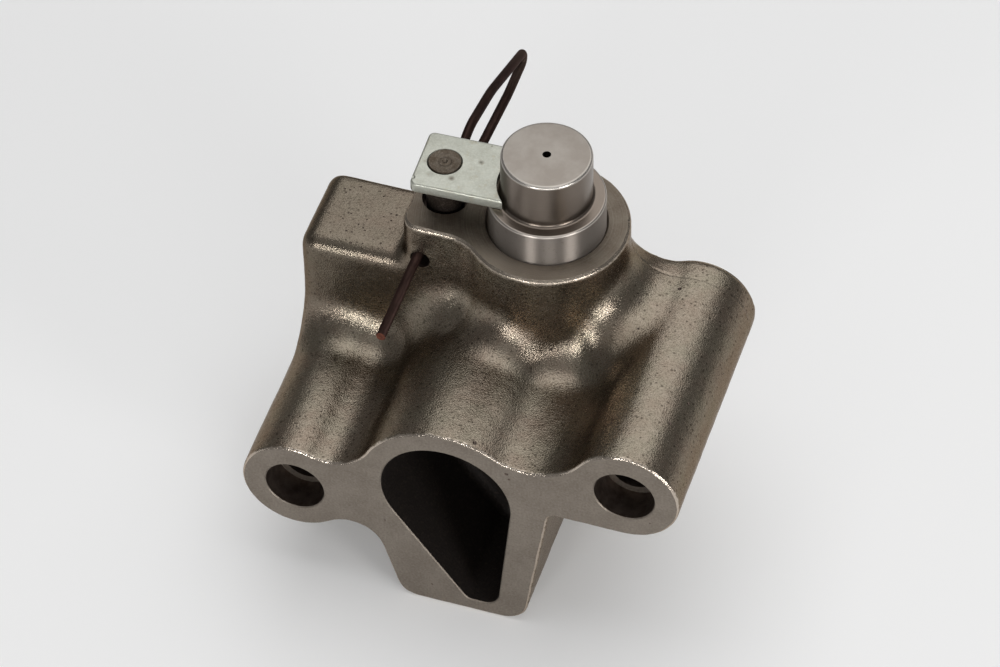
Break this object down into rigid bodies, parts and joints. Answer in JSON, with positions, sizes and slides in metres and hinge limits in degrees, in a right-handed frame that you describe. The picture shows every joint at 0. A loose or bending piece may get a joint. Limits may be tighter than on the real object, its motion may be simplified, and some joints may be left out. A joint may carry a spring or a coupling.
{
  "type": "timing chain tensioner",
  "caption": "Hydraulic timing chain tensioner with a cast housing, a spring-loaded plunger and a shipping lock of plate, pin and wire.",
  "frame": {"origin": "centre of the left dowel bore's mouth on the mounting face", "axes": "+X from the left bolt boss towards the right one, +Y away from the mounting face towards the bolt heads, +Z along the plunger's way out"},
  "size_m": [0.0649, 0.0743, 0.0633],
  "materials": {
    "cast_iron": "shot-blasted casting with machined faces",
    "ground_steel": "satin ground",
    "polished_steel": "polished ball",
    "spring_steel": "oiled spring wire",
    "zinc_plate": "dull zinc plating",
    "turned_steel": "turned, unplated",
    "dark_wire": "black annealed wire"
  },
  "bodies": {
    "body": {"housing": "cast_iron", "valve_seat": "ground_steel", "ball_cage": "zinc_plate", "ball_spring": "spring_steel", "retainer_plate": "zinc_plate", "retainer_pin": "turned_steel", "plunger_spring": "spring_steel"},
    "plunger": {"plunger": "ground_steel", "vent_disc": "ground_steel"},
    "ball": {"check_ball": "polished_steel"},
    "wire": {"lock_wire": "dark_wire"}
  },
  "joints": [
    {"name": "plunger_slide", "type": "slide", "parent": "body", "child": "plunger", "axis": [0, 0, 1], "range_m": [-0.004, 0], "stiffness_N_per_m": 1500, "springref_m": 0.02, "deforming": ["plunger_spring"]},
    {"name": "ball_lift", "type": "slide", "parent": "body", "child": "ball", "axis": [0, 0, 1], "range_m": [0, 0.0009], "stiffness_N_per_m": 40, "springref_m": -0.0002, "deforming": ["ball_spring"]},
    {"name": "lock_wire_pull", "type": "slide", "parent": "body", "child": "wire", "axis": [0, 1, 0], "range_m": [0, 0.031]}
  ]
}
